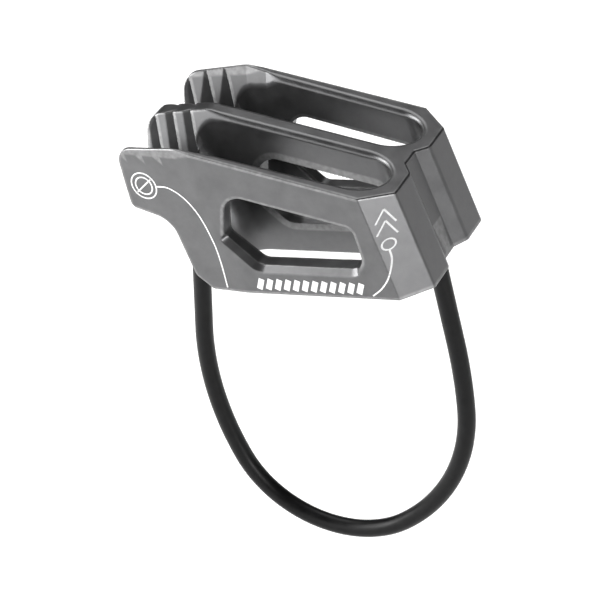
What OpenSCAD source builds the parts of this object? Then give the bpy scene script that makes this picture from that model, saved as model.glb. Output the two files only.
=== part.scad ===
// Two-slot belay device: a forged aluminium body with braking grooves and a wire keeper loop.
// Millimetres. +Z is up through the rope slots, +X points to the plain end, +Y to the back wall.
// The origin lies on the flat underside, in the mid-plane of the centre wall.

/* [Body] */
// overall width across the two outer walls
body_w = 36; // [30:0.5:44]
// height of the sloping top above the origin
top_h = 27.9; // [24:0.1:32]
// slope of the top, falling towards the plain end, in degrees
top_slope = 14.5; // [8:0.5:20]
// lean of the tubes and of the plain end, in degrees
tube_lean = 10.2; // [0:0.1:14]
// distance from the origin to the apex, where the horns begin
apex_x = 21.7; // [18:0.1:26]
// distance from the origin to the tips of the horns
horn_x = 36.3; // [32:0.1:40]
// height of the horns at their tips
horn_h = 32.4; // [29:0.1:36]
// radius of the horns' upper corner
horn_r = 3.6; // [1:0.1:6]
// radius under the horns, where they meet the tubes
root_r = 5; // [3:0.1:8]
// how far the outer walls turn in along the horns, in degrees
horn_bend = 6; // [0:0.5:14]
// small bevel round the underside
foot_bevel = 0.7; // [0.2:0.1:1.5]

/* [Plain end] */
// distance along the body to the end faces of the two tubes
end_x = 26.5; // [23:0.1:30]
// distance along the body to where the corner facets start on the outer walls
facet_x = 21; // [17:0.1:25]
// distance from the mid-plane to the outer edge of an end face
end_y_out = 12.7; // [9:0.1:16]
// distance from the mid-plane to the inner edge of an end face
end_y_in = 5.2; // [3.5:0.1:8]
// depth of the valley between the two tubes
valley_d = 2; // [0.5:0.1:4]
// half width of the valley floor
valley_y = 2.3; // [1:0.1:4]

/* [Rope slots] */
// width of a slot at mid-height
slot_w = 11.55; // [9:0.05:13]
// distance from the mid-plane to the middle of a slot at the underside
slot_y = 7.725; // [7:0.005:11]
// taper of a slot on each side, in degrees
slot_draft = 2; // [0:0.5:4]
// distance along the body to the slots' end beside the plain end
slot_x1 = 22.9; // [20:0.1:27]
// distance along the body to the slots' end under the grooves
slot_x0 = 20.7; // [14:0.1:23]
// bevel round the slots' mouths
rim_bevel = 1; // [0.3:0.1:1.6]
// bevel round the slots' edges at the underside
slot_foot_b = 0.6; // [0.2:0.1:1.2]

/* [Braking grooves] */
// angle of each groove wall from the vertical, in degrees
vee_angle = 24; // [15:1:32]
// height of the bottom of the grooves
vee_z = 20.4; // [18:0.1:24]
// half thickness of the centre wall's horn at its top
mid_horn = 2; // [1.2:0.1:3]
// thickness of an outer wall's horn at its top
side_horn = 1.4; // [1.2:0.1:3]
// distance from the origin to where the groove walls start to run out towards the slots
vee_out_x = 17; // [12:0.5:22]
// angle at which they run out, in degrees
vee_out = 9.7; // [4:0.1:16]
// depth of a tooth in the centre wall, at the top
mid_tooth = 0.63; // [0.3:0.01:1.2]
// depth of a tooth in an outer wall, at the top
side_tooth = 0.22; // [0.1:0.01:1.2]
// distance between teeth
tooth_pitch = 4.3; // [3:0.1:6]

/* [Windows] */
// height of the windows' lower edge
win_z = 6.4; // [4:0.1:9]
// width of metal between the top and the windows
win_top = 7.5; // [5:0.1:10]
// distance to the windows' upper corner on the horn side
win_x0 = 12.6; // [9:0.1:15]
// distance to the windows' edge at the plain end
win_x1 = 15.3; // [12:0.1:18]
// bevel along the lower corner and lower edge of the outer windows
win_bevel = 1.2; // [0.3:0.1:1.6]
// bevel round the rest of the outer windows
win_edge = 0.2; // [0.1:0.1:1]
// how much smaller the centre wall's window is, along its lower edges
mid_inset = 1.6; // [0.5:0.1:3]
// bevel round the centre wall's window
mid_bevel = 0.5; // [0.2:0.1:1]

/* [Keeper loop] */
// diameter of the coated wire rope
cable_d = 3.9; // [3:0.1:5]
// diameter of the bare steel rope inside the coating
core_d = 2.6; // [1.5:0.1:3.5]
// distance to the cable's exit at the plain end
exit_x = 21.3; // [19:0.1:23]
// tilt of the cable's exit at the plain end, in degrees
exit_tilt = 5; // [0:0.5:10]
// diameter of the swaged ferrules
ferrule_d = 4.4; // [4:0.1:5]
// depth of the ferrules in the body
ferrule_l = 6.5; // [4:0.1:9]
// depth of the flare in the mouths of the cable holes
flare_d = 0.8; // [0.3:0.1:1.2]
// how fast the flare widens
flare_k = 0.6; // [0.3:0.1:1]
// straight length of the loop below the plain end
loop_drop = 16.5; // [10:0.5:24]
// straight length of the loop below the horns
loop_rise = 39.3; // [30:0.1:50]

/* [Hidden] */
$fn = 96;
ts = tan(top_slope);
half_w = body_w / 2;
apex_z = top_h + apex_x * ts;
// gap between a ferrule's round nose and the hollow end of the cable
nose_gap = 0.15;

// --- a polygon whose corners carry true arcs: c is a list of [point, radius], anticlockwise ---
function unit(v) = v / norm(v);
function turn_of(a, b) = a[0] * b[1] - a[1] * b[0];
function prev(p, i) = p[(i + len(p) - 1) % len(p)];
function next(p, i) = p[(i + 1) % len(p)];
function back_dir(p, i) = unit(prev(p, i) - p[i]);
function on_dir(p, i) = unit(next(p, i) - p[i]);
function half_a(p, i) = acos(back_dir(p, i) * on_dir(p, i)) / 2;
function tang(p, r, i) = r / tan(half_a(p, i));
function arc_c(p, r, i) = p[i] + unit(back_dir(p, i) + on_dir(p, i)) * r / sin(half_a(p, i));
function convex(p, i) = turn_of(p[i] - prev(p, i), next(p, i) - p[i]) > 0;

module soft_outline(c) {
    p = [for (q = c) q[0]];
    difference() {
        union() {
            polygon([for (i = [0:len(c) - 1]) let (t = c[i][1] > 0 ? tang(p, c[i][1], i) : 0)
                each t == 0 ? [p[i]] : [p[i] + back_dir(p, i) * t, p[i] + on_dir(p, i) * t]]);
            for (i = [0:len(c) - 1])
                if (c[i][1] > 0 && convex(p, i)) translate(arc_c(p, c[i][1], i)) circle(c[i][1]);
        }
        for (i = [0:len(c) - 1])
            if (c[i][1] > 0 && !convex(p, i)) translate(arc_c(p, c[i][1], i)) circle(c[i][1]);
    }
}

// an outline drawn in X and Z, made w thick about the mid-plane
module upright(w) { rotate([90, 0, 0]) linear_extrude(w, center = true) children(); }
// the same on both sides of the mid-plane
module both_sides() { for (m = [0, 1]) mirror([0, m, 0]) children(); }

// --- body ---
module side_outline() {
    soft_outline([
        [[-21.4, 0], 0.6], [[40, 0], 0], [[40, top_h - 40 * ts], 0], [[-apex_x, apex_z], 0],
        [[-horn_x, horn_h], horn_r], [[-horn_x + 0.2, 18.7], 1.1],
        [[-27.2, 16.2], root_r], [[-24.9, 3.1], 0.8]
    ]);
}

// the plain end in plan, square to the lean of the tubes
module end_outline() {
    k = (end_x - facet_x) / (half_w - end_y_out);
    far = half_w + 12;
    polygon([
        [-70, -far], [facet_x - 12 * k, -far], [end_x, -end_y_out], [end_x, -end_y_in],
        [end_x - valley_d, -valley_y], [end_x - valley_d, valley_y], [end_x, end_y_in],
        [end_x, end_y_out], [facet_x - 12 * k, far], [-70, far]
    ]);
}

// the outer walls turn in along the horns and along the lower edge under them
module turned_in() {
    translate([-apex_x, -half_w, apex_z]) rotate([0, top_slope, 0]) rotate([0, 0, -horn_bend])
        translate([-40, -20, -60]) cube([40, 20, 90]);
    translate([-21.9, -half_w, 1.7]) rotate([0, -6.6, 0]) rotate([0, 0, -horn_bend])
        translate([-40, -20, -40]) cube([40, 20, 90]);
}

module foot_edges() {
    translate([end_x / cos(tube_lean), 0, 0]) rotate([0, 50, 0])
        cube([foot_bevel, 60, foot_bevel * 1.4], center = true);
    translate([0, -half_w, 0]) rotate([45, 0, 0])
        cube([90, foot_bevel, foot_bevel], center = true);
}

// one rope slot, narrowing downwards; its outer side has all the taper
module slot_cut() {
    zt = 40; zb = -10; d = tan(slot_draft);
    rt = slot_w / 2 + (zt - 13) * d; rb = slot_w / 2 - (13 - zb) * d;
    xa = -slot_x0 + slot_w / 2; xb = slot_x1 - slot_w / 2;
    rotate([0, -tube_lean, 0]) translate([0, -slot_y, 0]) rotate([slot_draft, 0, 0]) {
        for (x = [xa, xb]) translate([x, 0, zb]) cylinder(h = zt - zb, r1 = rb, r2 = rt);
        translate([xa, 0, 0]) rotate([90, 0, 90]) linear_extrude(xb - xa)
            polygon([[-rb, zb], [rb, zb], [rt, zt], [-rt, zt]]);
    }
}

// bevel round a slot's mouth, square to the sloping top and open towards the groove
module slot_mouth() {
    b = rim_bevel; r = slot_w / 2 + 0.45;
    translate([0, -slot_y - 0.9, top_h]) rotate([0, top_slope, 0]) {
        translate([slot_x1 - 8.8, 0, -b]) cylinder(h = 2 * b, r1 = r, r2 = r + 2 * b);
        translate([-22, 0, 0]) rotate([90, 0, 90]) linear_extrude(slot_x1 + 13.2)
            polygon([[-r, -b], [r, -b], [r + 2 * b, b], [-r - 2 * b, b]]);
    }
}

// bevel round a slot's edge at the underside
module slot_foot() {
    b = slot_foot_b; r = slot_w / 2 - 13 * tan(slot_draft);
    xa = (-slot_x0 + slot_w / 2) / cos(tube_lean); xb = (slot_x1 - slot_w / 2) / cos(tube_lean);
    translate([0, -slot_y, 0]) {
        for (x = [xa, xb]) translate([x, 0, -b]) cylinder(h = 2 * b, r1 = r + 2 * b, r2 = r);
        translate([xa, 0, 0]) rotate([90, 0, 90]) linear_extrude(xb - xa)
            polygon([[-r - 2 * b, -b], [r + 2 * b, -b], [r, b], [-r, b]]);
    }
}

// where the groove's walls stand at the top of the horn, turned in plan about a point at x
module on_mid_wall(x = 0, turn = 0) {
    translate([x, -mid_horn, horn_h]) rotate([0, 0, turn]) children();
}
module on_side_wall(x = 0, turn = 0) {
    translate([x, -half_w + side_horn, horn_h]) rotate([0, 0, turn]) children();
}

// one braking groove between the centre wall and an outer wall
module vee_cut() {
    intersection() {
        for_mid_wall() vee_side(1);
        for_side_wall() vee_side(-1);
        translate([-60, -40, vee_z]) cube([50, 40, 40]);
    }
}
// the space on the groove's side of a leaning wall
module vee_side(s) {
    rotate([-s * vee_angle, 0, 0]) translate([-80, s > 0 ? -60 : 0, -40]) cube([160, 60, 80]);
}
// a wall is straight along the horn, and runs out towards the slot
module for_mid_wall() {
    intersection() {
        on_mid_wall() children();
        on_mid_wall(-vee_out_x, -vee_out) children();
    }
}
module for_side_wall() {
    intersection() {
        on_side_wall() children();
        on_side_wall(-vee_out_x, vee_out) children();
        on_side_wall(-apex_x, -horn_bend) children();
    }
}

// teeth in the groove's walls: a ramp and a steep face, running with the tubes
module tooth(s, angle, depth, slope) {
    rotate([0, -tube_lean, 0]) rotate([-s * angle, 0, 0]) linear_extrude(30, center = true)
        polygon([[-4.2, -2.2 * s], [0, -2.2 * s], [0, s * depth], [-4.2, s * (depth - 4.2 * slope)]]);
}
module teeth() {
    intersection() {
        translate([-60, -40, vee_z]) cube([60, 40, 40]);
        for (i = [0:2]) {
            on_mid_wall(-25.7 - i * tooth_pitch) tooth(1, vee_angle - 1, mid_tooth, 0.42);
            on_side_wall(-apex_x, -horn_bend) translate([-4.6 - i * tooth_pitch, 0, 0])
                tooth(-1, vee_angle - 6.5, side_tooth, 0.36);
        }
    }
}

// corners of the windows, with their radii
win_head = top_h - win_top / cos(top_slope);
win_pts = [
    [[-9, win_z], 2.6], [[win_x1, win_z], 3.4],
    [[win_x1 - 1, win_head - (win_x1 - 1) * ts], 2.2],
    [[-win_x0, win_head + win_x0 * ts], 4.2], [[-15.3, 13.3], 2.2]
];
mid_pts = [
    [[-8.5, win_z + mid_inset], 2.6], [[win_x1 - 0.3, win_z + mid_inset], 3],
    [[win_x1 - 1.1, win_head - 0.3 - (win_x1 - 1.1) * ts], 2.2],
    [[1 - win_x0, win_head - 0.3 + (win_x0 - 1) * ts], 4], [[-13.8, 13.7], 2.2]
];

// a 45 degree bevel along side i of a window and round the corner that ends it, cut in a face at y
module bevel_side(pts, i, b, y) {
    p = [for (q = pts) q[0]]; j = (i + 1) % len(p);
    a = p[i] + on_dir(p, i) * tang(p, pts[i][1], i);
    e = p[j] + back_dir(p, j) * tang(p, pts[j][1], j);
    u = e - a; r = pts[j][1];
    rotate([90, 0, 0]) {
        translate([a[0], a[1], y]) rotate([0, 0, atan2(u[1], u[0])]) rotate([90, 0, 90])
            linear_extrude(norm(u)) polygon([[0.5, -b], [0, -b], [-2 * b, b], [0.5, b]]);
        c = arc_c(p, r, j);
        translate([c[0], c[1], y - b]) cylinder(h = 2 * b, r1 = r, r2 = r + 2 * b);
    }
}
module window_bevels() {
    for (i = [1, 2, 3]) bevel_side(win_pts, i, win_edge, half_w);
    for (i = [0, 4]) bevel_side(win_pts, i, win_bevel, half_w);
    for (i = [0:4]) bevel_side(mid_pts, i, mid_bevel, mid_horn + 0.35);
}

// a blind hole for a ferrule, with a flared mouth that lets the cable swing
module cable_hole() {
    r = ferrule_d / 2 + 0.02; out = 3;
    translate([0, 0, -2 * out]) cylinder(h = 2 * out + ferrule_l + 0.2, r = r);
    translate([0, 0, -out])
        cylinder(h = out + flare_d, r1 = r + flare_k * (out + flare_d), r2 = r);
}

module belay_body() {
    color([0.42, 0.43, 0.44]) difference() {
        intersection() {
            upright(body_w) side_outline();
            rotate([0, -tube_lean, 0]) translate([0, 0, -30]) linear_extrude(90) end_outline();
        }
        both_sides() {
            turned_in();
            foot_edges();
            slot_cut();
            slot_mouth();
            slot_foot();
            vee_cut();
            teeth();
            window_bevels();
        }
        for (y = [-20, 20]) translate([0, y, 0]) upright(24) soft_outline(win_pts);
        upright(17) soft_outline(mid_pts);
        at_plain_exit() cable_hole();
        at_horn_exit() cable_hole();
    }
}

// --- keeper loop: each state is [[x, z], heading], the cable bending clockwise ---
function dir(a) = [cos(a), sin(a)];
function ahead(s, l) = [s[0] + l * dir(s[1]), s[1]];
function bent(s, r, a) = [s[0] + r * (dir(s[1] - 90) - dir(s[1] - a - 90)), s[1] - a];
// a stretch is [radius, angle], or [0, length] where it is straight
function stretch_l(g) = g[0] > 0 ? g[0] * g[1] * PI / 180 : g[1];
function along(s, g, l) = g[0] > 0 ? bent(s, g[0], l / g[0] * 180 / PI) : ahead(s, l);
function place(l, s = loop_start, i = 0) =
    i == len(stretches) - 1 || l <= stretch_l(stretches[i]) ? along(s, stretches[i], l)
        : place(l - stretch_l(stretches[i]), along(s, stretches[i], stretch_l(stretches[i])), i + 1);
stretches = [[60, exit_tilt], [0, loop_drop], [130, 7.5], [43, 52], [25, 104.5], [68, 29],
    [0, loop_rise]];
loop_start = [[exit_x, 0], exit_tilt - 90];
loop_l = [for (i = 0, t = 0; i <= len(stretches); t = t + (i < len(stretches) ?
    stretch_l(stretches[i]) : 0), i = i + 1) t][len(stretches)];
loop_end = place(loop_l);

module at_plain_exit() { translate([exit_x, 0, 0]) rotate([0, -exit_tilt, 0]) children(); }
module at_horn_exit() {
    translate([loop_end[0][0], 0, loop_end[0][1]]) rotate([0, 90 - loop_end[1], 0]) children();
}

// points on a ring of the cable at distance l along it
function ring_at(l, d, k) = let (s = place(l), n = dir(s[1] + 90))
    [for (j = [0:k - 1]) let (c = cos(j * 360 / k), q = sin(j * 360 / k))
        [s[0][0] + d / 2 * c * n[0], d / 2 * q, s[0][1] + d / 2 * c * n[1]]];
// the side of a swept tube, n rings of k points from index o, facing out or in
function side_faces(n, k, o, out) = [for (i = [0:n - 2], j = [0:k - 1])
    let (a = o + i * k + j, b = o + i * k + (j + 1) % k, c = b + k, e = a + k)
        each out ? [[a, b, c], [a, c, e]] : [[a, c, b], [a, e, c]]];
loop_rings = 72;
function stations(from) = [for (i = [0:loop_rings - 1])
    from + (loop_l - 2 * from) * i / (loop_rings - 1)];

// the coating: a tube whose ends are hollow, to flex on the ferrules' round noses
module swept_tube(d, bore, k, lip, throat) {
    m = loop_rings * k;
    pts = [for (l = stations(lip)) each ring_at(l, d, k),
        for (l = stations(throat)) each ring_at(l, bore, k)];
    ends = [for (e = [0, 1], j = [0:k - 1]) let (o = e * (m - k), a = o + j, b = o + (j + 1) % k)
        each e == 0 ? [[a, b + m, b], [a, a + m, b + m]] : [[a, b, b + m], [a, b + m, a + m]]];
    polyhedron(pts, concat(side_faces(loop_rings, k, 0, true),
        side_faces(loop_rings, k, m, false), ends));
}
// the steel rope inside it
module swept_rod(d, k, from) {
    pts = [for (l = stations(from)) each ring_at(l, d, k)];
    polyhedron(pts, concat(side_faces(loop_rings, k, 0, true),
        [[for (j = [k - 1:-1:0]) j], [for (j = [0:k - 1]) (loop_rings - 1) * k + j]]));
}

module loop_core() {
    color([0.62, 0.63, 0.64]) swept_rod(core_d, 10, ferrule_d / 2 + nose_gap);
}
module loop_jacket() {
    color([0.06, 0.06, 0.06]) swept_tube(cable_d, core_d + 0.1, 14, 1.4, 2.1);
}

// a swaged ferrule: a plug with a round nose, on which the cable can flex
module ferrule() {
    rotate_extrude() intersection() {
        union() { circle(d = ferrule_d); square([ferrule_d / 2, ferrule_l]); }
        translate([0, -10]) square([10, 30]);
    }
}
module ferrule_plain_end() { color([0.7, 0.7, 0.68]) at_plain_exit() ferrule(); }
module ferrule_horn_end() { color([0.7, 0.7, 0.68]) at_horn_exit() ferrule(); }

belay_body();
ferrule_plain_end();
ferrule_horn_end();
loop_core();
loop_jacket();
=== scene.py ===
"""A two-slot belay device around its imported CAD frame.

Metres in the scene; the body's shape is worked out in millimetres. +Z is up through the rope slots,
+X points to the plain end, +Y to the back wall, and the origin lies on the flat underside.
"""
import math

import bpy
import numpy as np
import openvdb
from mathutils import Matrix, Vector


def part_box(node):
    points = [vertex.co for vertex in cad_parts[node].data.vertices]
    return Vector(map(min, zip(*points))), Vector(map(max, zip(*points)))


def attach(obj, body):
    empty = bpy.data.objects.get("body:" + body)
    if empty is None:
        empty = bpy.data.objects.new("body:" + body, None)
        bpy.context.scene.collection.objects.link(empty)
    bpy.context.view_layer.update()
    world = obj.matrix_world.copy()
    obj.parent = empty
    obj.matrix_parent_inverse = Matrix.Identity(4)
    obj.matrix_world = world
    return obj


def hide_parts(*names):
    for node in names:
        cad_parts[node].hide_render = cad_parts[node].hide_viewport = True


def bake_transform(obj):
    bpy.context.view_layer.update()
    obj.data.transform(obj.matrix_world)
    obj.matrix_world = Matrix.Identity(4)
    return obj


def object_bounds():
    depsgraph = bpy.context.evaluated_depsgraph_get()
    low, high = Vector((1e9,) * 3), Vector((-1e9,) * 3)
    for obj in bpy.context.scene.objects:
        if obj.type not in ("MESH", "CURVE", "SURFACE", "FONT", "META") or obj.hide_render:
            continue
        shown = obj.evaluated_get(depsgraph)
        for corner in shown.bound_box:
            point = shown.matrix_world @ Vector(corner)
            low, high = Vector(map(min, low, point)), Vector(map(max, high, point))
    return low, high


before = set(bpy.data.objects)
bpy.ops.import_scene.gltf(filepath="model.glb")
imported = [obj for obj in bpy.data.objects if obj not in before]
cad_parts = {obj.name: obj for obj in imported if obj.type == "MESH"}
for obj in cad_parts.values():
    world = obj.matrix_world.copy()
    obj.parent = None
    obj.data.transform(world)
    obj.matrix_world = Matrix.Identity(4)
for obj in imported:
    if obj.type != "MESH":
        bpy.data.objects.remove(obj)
cad_box = [list(corner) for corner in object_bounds()]

MM = 0.001
scene = bpy.context.scene
scene.view_settings.view_transform = "Standard"


# --- camera ---------------------------------------------------------------------------------------
def make_camera():
    """A long lens, rolled, aimed a little off the origin so that the device sits in the frame."""
    azimuth, elevation, roll = (math.radians(a) for a in (31.07, 29.40, 14.03))
    distance, focal = 0.5953, 4.8117  # focal length in picture widths
    aside, above = 0.06717, 0.08567  # where the origin lands, in picture widths from the middle
    back = Vector((math.sin(azimuth) * math.cos(elevation), -math.cos(azimuth) * math.cos(elevation),
                   math.sin(elevation)))
    level = Vector((math.cos(azimuth), math.sin(azimuth), 0))
    rise = back.cross(level)
    right = level * math.cos(roll) - rise * math.sin(roll)
    up = level * math.sin(roll) + rise * math.cos(roll)
    ahead = (-aside * right - above * up - focal * back).normalized()
    right = ahead.cross(up).normalized()
    up = right.cross(ahead)
    data = bpy.data.cameras.new("camera")
    data.sensor_width = 36
    data.lens = focal * data.sensor_width
    data.clip_start, data.clip_end = 0.05, 20
    camera = bpy.data.objects.new("camera", data)
    scene.collection.objects.link(camera)
    turned = Matrix((right, up, -ahead)).transposed().to_4x4()
    camera.matrix_world = Matrix.Translation(back * distance) @ turned
    scene.camera = camera


make_camera()


# --- meshes ---------------------------------------------------------------------------------------
def new_mesh(name, points, faces, normals=None, smooth=True):
    """points in millimetres; normals, one to a point, replace Blender's own where given."""
    mesh = bpy.data.meshes.new(name)
    mesh.from_pydata((np.asarray(points) * MM).tolist(), [], [list(map(int, f)) for f in faces])
    mesh.update()
    mesh.polygons.foreach_set("use_smooth", [smooth] * len(mesh.polygons))
    if normals is not None:
        mesh.normals_split_custom_set_from_vertices(np.asarray(normals).tolist())
    piece = bpy.data.objects.new(name, mesh)
    scene.collection.objects.link(piece)
    return piece


def node_box(node):
    low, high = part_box(node)
    return np.array(low) / MM, np.array(high) / MM


# --- keeper loop ----------------------------------------------------------------------------------
CABLE_R = 1.95
CORE_R = 1.3
FERRULE_R = 2.2
EXIT = (21.3, 0.0)
EXIT_TILT = 5
# the cable bends clockwise: [radius, angle] for a bend, [0, length] for a straight
STRETCHES = [(60, EXIT_TILT), (0, 16.5), (130, 7.5), (43, 52), (25, 104.5), (68, 29), (0, 39.3)]


def heading(angle):
    return np.array([math.cos(math.radians(angle)), math.sin(math.radians(angle))])


def along(point, angle, radius, length):
    """Point and heading further on, on a bend of that radius or straight ahead where it is 0."""
    if not radius:
        return point + length * heading(angle), angle
    turn = math.degrees(length / radius)
    return point + radius * (heading(angle - 90) - heading(angle - turn - 90)), angle - turn


def stretch_length(stretch):
    radius, amount = stretch
    return radius * math.radians(amount) if radius else amount


LOOP_L = sum(stretch_length(s) for s in STRETCHES)


def place(length):
    """Point in X and Z, and heading, at that distance along the cable; straight on past its ends."""
    point, angle = np.array(EXIT), EXIT_TILT - 90
    if length < 0:
        return along(point, angle, 0, length)
    for stretch in STRETCHES:
        step = min(length, stretch_length(stretch))
        point, angle = along(point, angle, stretch[0], step)
        length -= step
    return along(point, angle, 0, length)


HORN_EXIT, HORN_HEADING = place(LOOP_L)


def tube(name, lengths, spine, radii, sides, cap=True):
    """A closed tube: at each length, spine gives a point and a heading in the mid-plane, and an
    offset across it. The UV map holds the way round and the distance along, in millimetres."""
    rings = []
    for length, radius in zip(lengths, radii):
        (x, z), angle, across, aside = spine(length)
        nx, nz = heading(angle + 90)
        a = np.arange(sides) * 2 * np.pi / sides
        u = across + radius * np.cos(a)
        rings.append(np.stack([x + u * nx, aside + radius * np.sin(a), z + u * nz], 1))
    count = len(rings)
    points = np.concatenate(rings)
    faces = []
    for i in range(count - 1):
        for j in range(sides):
            a, b = i * sides + j, i * sides + (j + 1) % sides
            faces.append((a, b, b + sides, a + sides))
    if cap:
        faces.append(tuple(range(sides - 1, -1, -1)))
        faces.append(tuple((count - 1) * sides + j for j in range(sides)))
    piece = new_mesh(name, points, faces)
    uv = piece.data.uv_layers.new(name="way")
    values = []
    for i in range(count - 1):
        for j in range(sides):
            values += [j / sides, lengths[i], (j + 1) / sides, lengths[i],
                       (j + 1) / sides, lengths[i + 1], j / sides, lengths[i + 1]]
    values += [0.5, 0] * (2 * sides if cap else 0)
    uv.data.foreach_set("uv", values)
    return piece


def make_jacket():
    """The coating, a smooth tube whose ends lie inside the ferrules."""
    inside = 3.0
    lengths = np.linspace(-inside, LOOP_L + inside, 260)
    return tube("cable_coating", lengths, lambda l: (*place(l), 0, 0), [CABLE_R] * len(lengths), 36)


def make_core():
    """Seven twisted wires inside the coating."""
    inside, wire_r, lay = 5.6, CORE_R / 3, 16.0
    lengths = np.linspace(-inside, LOOP_L + inside, 420)
    wires = []
    for k in range(7):
        def spine(l, k=k):
            turn = 2 * math.pi * (l / lay + k / 6)
            out = 0 if k == 6 else 2 * wire_r
            return (*place(l), out * math.cos(turn), out * math.sin(turn))
        wires.append(tube(f"wire_{k}", lengths, spine, [wire_r] * len(lengths), 8))
    with bpy.context.temp_override(active_object=wires[0], selected_editable_objects=wires):
        bpy.ops.object.join()
    wires[0].name = "wire_rope"
    return wires[0]


def lathe(name, profile, at, angle, sides=48):
    """A closed profile of (radius, height) turned about an axis in the mid-plane through at."""
    ax, az = heading(angle)
    nx, nz = heading(angle - 90)
    a = np.arange(sides) * 2 * np.pi / sides
    points = [[at[0] + h * ax + r * math.cos(t) * nx, r * math.sin(t), at[1] + h * az + r * math.cos(t) * nz]
              for r, h in profile for t in a]
    n = len(profile)
    faces = [(i * sides + j, i * sides + (j + 1) % sides,
              (i + 1) % n * sides + (j + 1) % sides, (i + 1) % n * sides + j)
             for i in range(n) for j in range(sides)]
    return new_mesh(name, points, faces)


def make_ferrule(name, at, angle):
    """A crimped sleeve just inside the mouth of its hole, with a rounded lip and two crimp rings."""
    bore = CABLE_R + 0.02
    top, deep = 0.35, 6.3
    profile = [(bore, top + 0.12), (bore + 0.06, top), (FERRULE_R - 0.08, top), (FERRULE_R, top + 0.1)]
    for h in (2.0, 4.2):
        profile += [(FERRULE_R, h - 0.5), (FERRULE_R - 0.12, h - 0.2), (FERRULE_R - 0.12, h + 0.2),
                    (FERRULE_R, h + 0.5)]
    profile += [(FERRULE_R, deep - 0.2), (FERRULE_R - 0.2, deep), (bore + 0.05, deep), (bore, deep - 0.1)]
    return lathe(name, profile, at, angle)


# --- body, as a distance field --------------------------------------------------------------------
# Each function gives a signed distance in millimetres, negative in the metal or in the thing it names.
TOP_H, TOP_SLOPE = 27.9, math.radians(14.5)
LEAN = math.radians(10.2)
APEX = (-21.7, TOP_H + 21.7 * math.tan(TOP_SLOPE))
HALF_W = 18.0
# the side outline under the horns, down to the toe, and where the lower edge starts to turn in
HORN_H = 32.4
HORN_TIP, HORN_HEEL = (-36.3, HORN_H), (-36.1, 18.7)
ROOT, ANKLE, TOE = (-27.2, 16.2), (-24.9, 3.1), (-21.4, 0)
FOOT_TURN = (-21.9, 1.7)
HORN_BEND = 6
# thickness of an outer horn and half that of the centre one, at the top
SIDE_HORN, MID_HORN = 1.4, 2.0
# a slot's middle, its half width at the waist, the ends of its middle line, and its taper
SLOT_Y, SLOT_R = 7.725, 5.775
SLOT_ENDS = (-20.7 + SLOT_R, 22.9 - SLOT_R)
SLOT_WAIST, SLOT_DRAFT = 13, math.radians(2)
MID_HALF = 2.35
# the grooves: lean of the walls, floor, and where and how fast the walls run out towards the slots
GROOVE_LEAN, GROOVE_FLOOR = math.radians(24), 20.4
RUN_OUT_X, RUN_OUT = 17, math.radians(9.7)
TOOTH_L, TOOTH_BACK = 4.2, 2.2
# the plain end: its end faces, their outer edge, and the valley between them
END_X, END_Y = 26.5, 12.7
VALLEY_X, VALLEY_Y = 24.5, 2.3


def both(a, b, r):
    """In a and in b, with a rounded edge."""
    return np.minimum(-r, np.maximum(a, b)) + np.hypot(np.maximum(a + r, 0), np.maximum(b + r, 0))


def either(a, b, r):
    """In a or in b, with a fillet."""
    return np.maximum(r, np.minimum(a, b)) - np.hypot(np.maximum(r - a, 0), np.maximum(r - b, 0))


def right_of(x, z, p, q):
    """Distance to the right of the line from p to q."""
    dx, dz = q[0] - p[0], q[1] - p[1]
    return ((x - p[0]) * dz - (z - p[1]) * dx) / math.hypot(dx, dz)


def spin(a, b, angle):
    """The pair turned by an angle."""
    c, s = math.cos(angle), math.sin(angle)
    return a * c - b * s, a * s + b * c


def fade(value, low, high):
    t = np.clip((value - low) / (high - low), 0, 1)
    return t * t * (3 - 2 * t)


WIN_HEAD = TOP_H - 7.5 / math.cos(TOP_SLOPE)


def under_head(x, drop=0.0):
    return x, WIN_HEAD - drop - x * math.tan(TOP_SLOPE)


WINDOW = [((-9.0, 6.4), 2.6), ((15.3, 6.4), 3.4), (under_head(14.3), 2.2),
          (under_head(-12.6), 4.2), ((-15.3, 13.3), 2.2)]
MID_WINDOW = [((-8.5, 8.0), 2.6), ((15.0, 8.0), 3.0), (under_head(14.2, 0.3), 2.2),
              (under_head(-11.6, 0.3), 4.0), ((-13.8, 13.7), 2.2)]


def window_outline(x, z, window=WINDOW):
    """A convex outline, anticlockwise, with round corners."""
    corners = [np.array(p) for p, _ in window]
    n = len(corners)
    ahead = [(corners[(i + 1) % n] - corners[i]) / np.linalg.norm(corners[(i + 1) % n] - corners[i])
             for i in range(n)]
    out = [np.array([d[1], -d[0]]) for d in ahead]
    sides = [(x - corners[i][0]) * out[i][0] + (z - corners[i][1]) * out[i][1] for i in range(n)]
    d = np.maximum.reduce(sides)
    for i, (_, r) in enumerate(window):
        before = i - 1
        a, b = out[before], out[i]
        half = math.acos(float(a @ b)) / 2
        centre = corners[i] - (a + b) / np.linalg.norm(a + b) * r / math.cos(half)
        px, pz = x - centre[0], z - centre[1]
        inside = (px * ahead[before][0] + pz * ahead[before][1] > 0) & \
                 (px * ahead[i][0] + pz * ahead[i][1] < 0)
        d = np.where(inside, np.hypot(px, pz) - r, d)
    return d


def horn_plane(x, y, z, at, slope):
    """How far outside the turned-in face through that point."""
    x1 = (x - at[0]) * math.cos(slope) - (z - at[1]) * math.sin(slope)
    bend = math.radians(HORN_BEND)
    return -(x1 * math.sin(bend) + (y + HALF_W) * math.cos(bend))


def slot_field(x, y, z):
    u, w = spin(x, z, -LEAN)
    yl, zl = spin(y + SLOT_Y, w, -SLOT_DRAFT)
    radius = SLOT_R + (zl - SLOT_WAIST) * math.tan(SLOT_DRAFT)
    return np.hypot(u - np.clip(u, *SLOT_ENDS), yl) - radius


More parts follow.
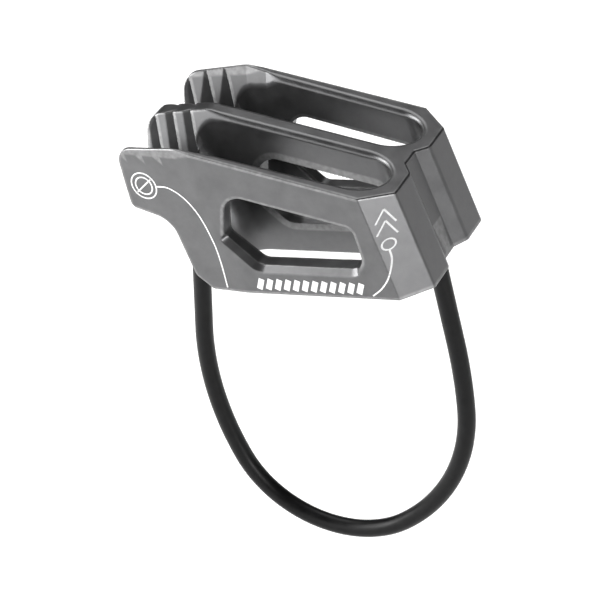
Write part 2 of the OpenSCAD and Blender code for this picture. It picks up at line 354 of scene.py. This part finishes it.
def groove_wall(across, z):
    """Distance into a groove's leaning wall; across is measured from the wall's top edge."""
    return across * math.cos(GROOVE_LEAN) - (z - HORN_H) * math.sin(GROOVE_LEAN)


def vee_field(x, y, z):
    """The braking groove: two leaning walls that run out towards the slot, and a floor."""
    turn = math.radians(HORN_BEND)
    side = y + HALF_W - SIDE_HORN
    mid = y + MID_HORN
    walls = [mid, -side]
    walls.append(spin(x + RUN_OUT_X, mid, RUN_OUT)[1])
    walls.append(-spin(x + RUN_OUT_X, side, -RUN_OUT)[1])
    walls.append(-spin(x - APEX[0], side, turn)[1])
    return np.maximum.reduce([groove_wall(w, z) for w in walls] + [GROOVE_FLOOR - z, x + 10])


def tooth_field(x, y, z, at, side, angle, width, slope):
    """One tooth's notch: a ramp that deepens towards a steep face on its +X side."""
    xl, w = spin(x - at[0], z - at[2], -LEAN)
    yl, _ = spin(y - at[1], w, side * math.radians(angle))
    ramp = (side * yl - slope * (xl + width)) / math.hypot(1, slope)
    return np.maximum.reduce([xl, -TOOTH_L - xl, ramp, -side * yl - TOOTH_BACK, GROOVE_FLOOR - z])


def teeth_field(x, y, z):
    xs, ys = spin(x - APEX[0], y + HALF_W - SIDE_HORN, math.radians(HORN_BEND))
    void = []
    for i in range(3):
        void.append(tooth_field(x, y, z, (-25.7 - 4.25 * i, -MID_HORN, HORN_H), 1, 23, 1.5, 0.42))
        void.append(tooth_field(xs, ys, z, (-4.6 - 4.4 * i, 0.0, HORN_H), -1, 17.5, 0.6, 0.36))
    return np.minimum.reduce(void)


def hole_field(x, y, z, at, angle):
    nx, nz = heading(angle + 90)
    across = (x - at[0]) * nx + (z - at[1]) * nz
    ax, az = heading(angle)
    deep = (x - at[0]) * ax + (z - at[1]) * az
    radius = 2.22 + 0.6 * np.clip(0.8 - deep, 0, 3.8)
    return np.maximum(np.hypot(across, y) - radius, deep - 6.7)


def body_field(x, y, z):
    """The whole body; it is the same on both sides of the mid-plane."""
    y = -np.abs(y)
    slope = ((z - TOP_H) + x * math.tan(TOP_SLOPE)) * math.cos(TOP_SLOPE)
    horn_top = right_of(x, z, APEX, HORN_TIP)
    top = both(slope, horn_top, 0.3)
    near_top = fade(top, -3.5, -0.8)

    # the side outline
    tip = right_of(x, z, HORN_TIP, HORN_HEEL)
    under = right_of(x, z, HORN_HEEL, ROOT)
    flank = right_of(x, z, ROOT, ANKLE)
    toe = right_of(x, z, ANKLE, TOE)
    d = both(tip, either(under, flank, 2.84), 1.1)
    d = both(d, toe, 0.4)
    d = both(d, -z, 0.35)
    d = both(d, top, 3.55)

    # the plain end
    u, _ = spin(x, z, -LEAN)
    facet = ((u - END_X) * 5.3 - (y + END_Y) * 5.5) / math.hypot(5.3, 5.5)
    valley = np.maximum(VALLEY_X - u, (-(y + VALLEY_Y) - (u - VALLEY_X) * 1.45) / math.hypot(1, 1.45))
    end = both(u - END_X, -valley, 0.3)
    end = both(end, facet, 0.3)

    # the outer faces
    wall = -HALF_W - y
    wall = both(wall, horn_plane(x, y, z, APEX, -TOP_SLOPE), 0.05)
    wall = both(wall, horn_plane(x, y, z, FOOT_TURN, math.radians(6.6)), 0.05)
    sides = both(wall, end, 0.15)
    d = both(d, sides, 0.32)

    # slots, grooves and teeth
    near_foot = 1 - fade(z, 1.0, 3.5)
    d = both(d, -slot_field(x, y, z), 0.45 + 0.9 * near_top + 1.0 * near_foot)
    d = both(d, -vee_field(x, y, z), 0.25)
    d = both(d, -teeth_field(x, y, z), 0.06)

    # windows, with a wide bevel along the lower corner and the lower edge
    window = window_outline(x, z)
    width = 0.15 + 1.1 * fade(window_down(x, z), 0.35, 0.75)
    bevel = (window - width + (y + HALF_W)) / math.sqrt(2)
    middle = window_outline(x, z, MID_WINDOW)
    edge = (middle - 0.5 - (y + MID_HALF)) / math.sqrt(2)
    d = both(d, -np.maximum(np.minimum(window, bevel), y + 8), 0.14)
    d = both(d, -np.maximum(np.minimum(middle, edge), -8 - y), 0.14)

    # cable holes
    d = both(d, -hole_field(x, y, z, EXIT, EXIT_TILT + 90), 0.2)
    d = both(d, -hole_field(x, y, z, HORN_EXIT, HORN_HEADING), 0.2)
    return d


def window_down(x, z):
    """How far the window's nearest edge faces down and to the horns' side, from -1 to 1."""
    e = 0.05
    gx = window_outline(x + e, z) - window_outline(x - e, z)
    gz = window_outline(x, z + e) - window_outline(x, z - e)
    return (gx * -0.39 + gz * -0.92) / np.maximum(np.hypot(gx, gz), 1e-9)


def gradient(field, p, e=0.02):
    g = np.stack([field(*(p + o).T) - field(*(p - o).T) for o in np.eye(3) * e], 1)
    return g / (2 * e)


EDGE_DEPTH = 0.8


def make_body():
    """Samples the field on a grid, meshes it, and puts every point back on the true surface."""
    step, pad = 0.22, 3
    low, high = node_box("belay_body")
    low = low - pad * step
    count = np.ceil((high + pad * step - low) / step).astype(int) + 1
    axes = [low[i] + step * np.arange(count[i]) for i in range(3)]
    x, z = (a.astype(np.float32) for a in np.meshgrid(axes[0], axes[2], indexing="ij"))
    values = np.empty(count, np.float32)
    for j, y in enumerate(axes[1]):
        values[:, j, :] = body_field(x, np.full_like(x, y), z)
    grid = openvdb.FloatGrid(step * pad)
    grid.copyFromArray(np.clip(values, -step * pad, step * pad))
    points, triangles, quads = grid.convertToPolygons(isovalue=0, adaptivity=0.0)
    points = low + points.astype(float) * step
    for _ in range(3):
        f, g = body_field(*points.T), gradient(body_field, points)
        points -= (np.clip(f, -0.2, 0.2) / np.maximum((g * g).sum(1), 0.25))[:, None] * g
    g = gradient(body_field, points)
    normals = g / np.maximum(np.linalg.norm(g, axis=1), 1e-9)[:, None]
    faces = triangles.tolist() + quads.tolist()
    piece = new_mesh("forged_body", points, faces, normals)
    # a little way in, the field is shallower under an edge than under a flat
    inward = body_field(*(points - EDGE_DEPTH * normals).T)
    edge = piece.data.attributes.new("edge", "FLOAT", "POINT")
    edge.data.foreach_set("value", np.clip((inward + 0.76) / 0.2, 0, 1).astype(np.float32))
    return piece


# --- markings -------------------------------------------------------------------------------------
MARK_W, BAR_W = 0.3, 1.25
MARK_PROUD, MARK_SUNK = 0.03, 0.12


def front_face(x, z):
    """Y of the body's front surface above a point in X and Z."""
    low, high = np.full_like(x, -HALF_W - 1.0), np.full_like(x, -HALF_W + 6.0)
    for _ in range(26):
        middle = (low + high) / 2
        outside = body_field(x, middle, z) > 0
        low, high = np.where(outside, middle, low), np.where(outside, high, middle)
    return high


def curve(*points, closed=False, step=0.3):
    """A smooth line through the points, sampled evenly."""
    p = np.array(points, float)
    n = len(p)
    if n == 2 and not closed:
        count = max(2, int(np.linalg.norm(p[1] - p[0]) / step) + 1)
        return np.linspace(p[0], p[1], count), False
    before = np.roll(p, 1, 0) if closed else np.vstack([2 * p[0] - p[1], p[:-1]])
    after = np.roll(p, -1, 0) if closed else np.vstack([p[1:], 2 * p[-1] - p[-2]])
    slope = (after - before) / 2
    out = []
    for i in range(n if closed else n - 1):
        j = (i + 1) % n
        count = max(2, int(np.linalg.norm(p[j] - p[i]) / step))
        t = np.arange(count)[:, None] / count
        out.append((2 * t ** 3 - 3 * t ** 2 + 1) * p[i] + (t ** 3 - 2 * t ** 2 + t) * slope[i]
                   + (-2 * t ** 3 + 3 * t ** 2) * p[j] + (t ** 3 - t ** 2) * slope[j])
    if not closed:
        out.append(p[-1:])
    return np.concatenate(out), closed


def ring(x, z, r, count=20):
    a = np.arange(count) * 2 * np.pi / count
    return np.stack([x + r * np.cos(a), z + r * np.sin(a)], 1), True


def make_marks(name, lines, widths):
    """Closed ribbons that stand just proud of the front face and follow it."""
    points, faces = [], []
    for (line, closed), width in zip(lines, widths):
        n = len(line)
        ahead = np.roll(line, -1, 0) - np.roll(line, 1, 0) if closed else np.gradient(line, axis=0)
        ahead /= np.linalg.norm(ahead, axis=1)[:, None]
        aside = np.stack([-ahead[:, 1], ahead[:, 0]], 1) * width / 2
        base = len(points)
        left, right = line + aside, line - aside
        yl, yr = front_face(left[:, 0], left[:, 1]), front_face(right[:, 0], right[:, 1])
        for i in range(n):
            (lx, lz), (rx, rz) = left[i], right[i]
            points += [(lx, yl[i] - MARK_PROUD, lz), (rx, yr[i] - MARK_PROUD, rz),
                       (rx, yr[i] + MARK_SUNK, rz), (lx, yl[i] + MARK_SUNK, lz)]
        for i in range(n if closed else n - 1):
            a, b = base + 4 * i, base + 4 * ((i + 1) % n)
            for k in range(4):
                faces.append((a + k, a + (k + 1) % 4, b + (k + 1) % 4, b + k))
        if not closed:
            faces.append((base + 3, base + 2, base + 1, base))
            end = base + 4 * (n - 1)
            faces.append((end, end + 1, end + 2, end + 3))
    return new_mesh(name, points, faces, smooth=False)


def brake_marks():
    """Where the braking strand runs: a ring with a bar across it, and a rope that leaves it."""
    return [ring(-31.4, 24.2, 3.0, 28), ring(-31.4, 24.2, 2.0, 24),
            curve((-33.4, 22.6), (-29.4, 25.8)),
            curve((-28.4, 24.3), (-25.4, 24.2), (-22.2, 22.1), (-19.6, 18.0), (-18.0, 12.0), (-17.6, 7.0),
                  (-17.7, 0.9))]


def load_marks():
    """Where the loaded strand runs: two chevrons that point up, and a ring and a rope below them."""
    chevrons = [curve((19.3, 14.6 + h), (20.9, 17.2 + h)) for h in (0, 2.4)]
    chevrons += [curve((20.9, 17.2 + h), (22.5, 14.0 + h)) for h in (0, 2.4)]
    return chevrons + [ring(20.9, 12.3, 1.1, 18),
                       curve((20.9, 11.1), (21.0, 8.8), (20.1, 5.6), (18.0, 2.8), (15.6, 0.9))]


def panel_marks():
    """A row of slanted bars, like the lay of a rope, along the lower edge."""
    return [curve((x - 0.35, 1.25), (x + 0.65, 3.65)) for x in np.arange(-9.6, 13.2, 2.05)]


# --- materials ------------------------------------------------------------------------------------
def node_material(name, color, metallic, roughness):
    material = bpy.data.materials.new(name)
    material.use_nodes = True
    tree = material.node_tree
    shader = tree.nodes["Principled BSDF"]
    shader.inputs["Base Color"].default_value = (*color, 1)
    shader.inputs["Metallic"].default_value = metallic
    shader.inputs["Roughness"].default_value = roughness
    return material, tree, shader


def noise(tree, scale, detail, coords, roughness=0.5):
    n = tree.nodes.new("ShaderNodeTexNoise")
    n.inputs["Scale"].default_value = scale
    n.inputs["Detail"].default_value = detail
    n.inputs["Roughness"].default_value = roughness
    tree.links.new(coords, n.inputs["Vector"])
    return n.outputs["Fac"]


def ranged(tree, value, low, high, start=0.3, stop=0.7):
    n = tree.nodes.new("ShaderNodeMapRange")
    for key, v in (("From Min", start), ("From Max", stop), ("To Min", low), ("To Max", high)):
        n.inputs[key].default_value = v
    tree.links.new(value, n.inputs["Value"])
    return n.outputs["Result"]


def blended(tree, factor, first, second):
    n = tree.nodes.new("ShaderNodeMix")
    n.data_type = "RGBA"
    n.inputs[6].default_value = (*first, 1)
    n.inputs[7].default_value = (*second, 1)
    tree.links.new(factor, n.inputs[0])
    return n.outputs[2]


def bumped(tree, shader, height, strength, distance):
    n = tree.nodes.new("ShaderNodeBump")
    n.inputs["Strength"].default_value = strength
    n.inputs["Distance"].default_value = distance
    tree.links.new(height, n.inputs["Height"])
    tree.links.new(n.outputs["Normal"], shader.inputs["Normal"])


def mixed(tree, kind, first, second):
    n = tree.nodes.new("ShaderNodeMath")
    n.operation = kind
    for socket, value in zip(n.inputs, (first, second)):
        if isinstance(value, (int, float)):
            socket.default_value = value
        else:
            tree.links.new(value, socket)
    return n.outputs[0]


def anodised():
    """Grey anodising over a tumbled surface, a little brighter where the edges rub."""
    material, tree, shader = node_material("anodised_aluminium", (0.12, 0.12, 0.12), 0.88, 0.36)
    coords = tree.nodes.new("ShaderNodeTexCoord").outputs["Object"]
    fine = noise(tree, 3200, 3, coords, 0.6)
    patches = noise(tree, 260, 5, coords, 0.6)
    worn = tree.nodes.new("ShaderNodeAttribute")
    worn.attribute_name = "edge"
    uneven = ranged(tree, noise(tree, 900, 4, coords), 0.35, 1.0)
    rubbed = mixed(tree, "MULTIPLY", worn.outputs["Fac"], uneven)
    base = blended(tree, ranged(tree, patches, 0, 1), (0.112, 0.112, 0.114), (0.138, 0.138, 0.140))
    mix = tree.nodes.new("ShaderNodeMix")
    mix.data_type = "RGBA"
    mix.inputs[7].default_value = (0.34, 0.34, 0.34, 1)
    tree.links.new(mixed(tree, "MULTIPLY", rubbed, 0.55), mix.inputs[0])
    tree.links.new(base, mix.inputs[6])
    tree.links.new(mix.outputs[2], shader.inputs["Base Color"])
    rough = ranged(tree, patches, 0.30, 0.40)
    tree.links.new(mixed(tree, "ADD", rough, ranged(tree, fine, -0.03, 0.03)), shader.inputs["Roughness"])
    grain = mixed(tree, "ADD", fine, mixed(tree, "MULTIPLY", noise(tree, 1100, 3, coords), 0.8))
    bumped(tree, shader, grain, 0.3, 0.000025)
    return material


def rubbery():
    """An extruded coating: near black, faintly streaked along its length."""
    material, tree, shader = node_material("black_coating", (0.004, 0.004, 0.004), 0.0, 0.42)
    shader.inputs["Specular IOR Level"].default_value = 0.17
    way = tree.nodes.new("ShaderNodeUVMap")
    way.uv_map = "way"
    squeeze = tree.nodes.new("ShaderNodeMapping")
    squeeze.inputs["Scale"].default_value = (26, 0.12, 1)
    tree.links.new(way.outputs["UV"], squeeze.inputs["Vector"])
    streaks = noise(tree, 1, 2, squeeze.outputs["Vector"])
    coords = tree.nodes.new("ShaderNodeTexCoord").outputs["Object"]
    mottle = noise(tree, 500, 3, coords)
    tree.links.new(mixed(tree, "ADD", ranged(tree, streaks, 0.34, 0.42), ranged(tree, mottle, -0.03, 0.05)),
                   shader.inputs["Roughness"])
    tree.links.new(blended(tree, ranged(tree, mottle, 0, 1), (0.003, 0.003, 0.0032), (0.006, 0.006, 0.0062)),
                   shader.inputs["Base Color"])
    bumped(tree, shader, mixed(tree, "ADD", noise(tree, 1800, 2, coords), streaks), 0.10, 0.00002)
    return material


def ink():
    material, tree, shader = node_material("laser_mark", (0.85, 0.85, 0.85), 0.0, 0.6)
    coords = tree.nodes.new("ShaderNodeTexCoord").outputs["Object"]
    tree.links.new(blended(tree, ranged(tree, noise(tree, 1500, 3, coords), 0, 1), (0.74, 0.74, 0.74),
                           (0.92, 0.92, 0.92)), shader.inputs["Base Color"])
    return material


def steel():
    material, tree, shader = node_material("bright_steel", (0.55, 0.55, 0.54), 1.0, 0.32)
    coords = tree.nodes.new("ShaderNodeTexCoord").outputs["Object"]
    tree.links.new(ranged(tree, noise(tree, 900, 3, coords), 0.25, 0.42), shader.inputs["Roughness"])
    return material


# --- assembly -------------------------------------------------------------------------------------
coating, bare = rubbery(), steel()

jacket = make_jacket()
jacket.data.materials.append(coating)
core = make_core()
core.data.materials.append(bare)
# the direction square to the line through the cable's two exits, in the mid-plane
away = np.array([HORN_EXIT[1] - EXIT[1], 0, -(HORN_EXIT[0] - EXIT[0])])
away /= -np.linalg.norm(away)
for piece, node, finish in ((jacket, "loop_jacket", "loop_coating"), (core, "loop_core", "rope_steel")):
    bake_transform(piece)
    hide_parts(node)

for node, at, angle in (("ferrule_plain_end", EXIT, EXIT_TILT + 90),
                        ("ferrule_horn_end", HORN_EXIT, HORN_HEADING)):
    piece = make_ferrule(node.replace("ferrule", "sleeve"), at, angle)
    piece.data.materials.append(bare)
    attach(piece, "body")
    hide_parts(node)

body = make_body()
body.data.materials.append(anodised())
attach(body, "body")
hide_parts("belay_body")


marking = ink()
for name, lines, width in (("mark_brake_strand", brake_marks(), MARK_W),
                           ("mark_load_strand", load_marks(), MARK_W),
                           ("mark_rope_bars", panel_marks(), BAR_W)):
    piece = make_marks(name, lines, [width] * len(lines))
    piece.data.materials.append(marking)
    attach(piece, "body")


# --- studio ---------------------------------------------------------------------------------------
FLOOR_GAP, FLOOR_HALF = 0.012, 3.0
WORLD_BRIGHT, WORLD_DIM = 0.9, 0.42
# the middle of the dimmer part of the world
DIM_TOWARD = (0.35, -0.62, 0.70)


def make_floor():
    floor_z = cad_box[0][2] - FLOOR_GAP
    mesh = bpy.data.meshes.new("floor")
    s = FLOOR_HALF
    mesh.from_pydata([(-s, -s, floor_z), (s, -s, floor_z), (s, s, floor_z), (-s, s, floor_z)], [],
                     [(0, 1, 2, 3)])
    floor = bpy.data.objects.new("floor", mesh)
    scene.collection.objects.link(floor)
    material, tree, shader = node_material("paper", (0.92, 0.92, 0.92), 0.0, 0.9)
    coords = tree.nodes.new("ShaderNodeTexCoord").outputs["Object"]
    tree.links.new(blended(tree, noise(tree, 30, 2, coords), (0.9, 0.9, 0.9), (0.94, 0.94, 0.94)),
                   shader.inputs["Base Color"])
    shader.inputs["Emission Color"].default_value = (1, 1, 1, 1)
    shader.inputs["Emission Strength"].default_value = 0.22
    mesh.materials.append(material)


def make_light(name, at, size, power, target=(0, 0, 0.01)):
    data = bpy.data.lights.new(name, "AREA")
    data.shape = "RECTANGLE"
    data.size, data.size_y = size
    data.energy = power
    light = bpy.data.objects.new(name, data)
    light.location = at
    light.rotation_mode = "QUATERNION"
    light.rotation_quaternion = (Vector(target) - Vector(at)).to_track_quat("-Z", "Y")
    scene.collection.objects.link(light)


def make_world():
    """Soft white all round, dimmer in front and above."""
    world = bpy.data.worlds.new("studio")
    world.use_nodes = True
    tree = world.node_tree
    coords = tree.nodes.new("ShaderNodeTexCoord")
    toward = tree.nodes.new("ShaderNodeVectorMath")
    toward.operation = "DOT_PRODUCT"
    tree.links.new(coords.outputs["Generated"], toward.inputs[0])
    toward.inputs[1].default_value = Vector(DIM_TOWARD).normalized()
    dim = ranged(tree, toward.outputs["Value"], WORLD_BRIGHT, WORLD_DIM, 0.25, 0.92)
    tree.links.new(dim, tree.nodes["Background"].inputs["Strength"])
    scene.world = world


make_floor()
make_world()
make_light("left_softbox", (-0.75, -0.35, 0.45), (0.6, 0.7), 13)
make_light("front_left_softbox", (-0.36, -0.69, 0.20), (0.6, 0.5), 2.6)
make_light("right_softbox", (0.62, -0.42, 0.02), (0.30, 0.22), 2.6)
make_light("top", (-0.1, 0.35, 0.8), (0.8, 0.6), 4.6)
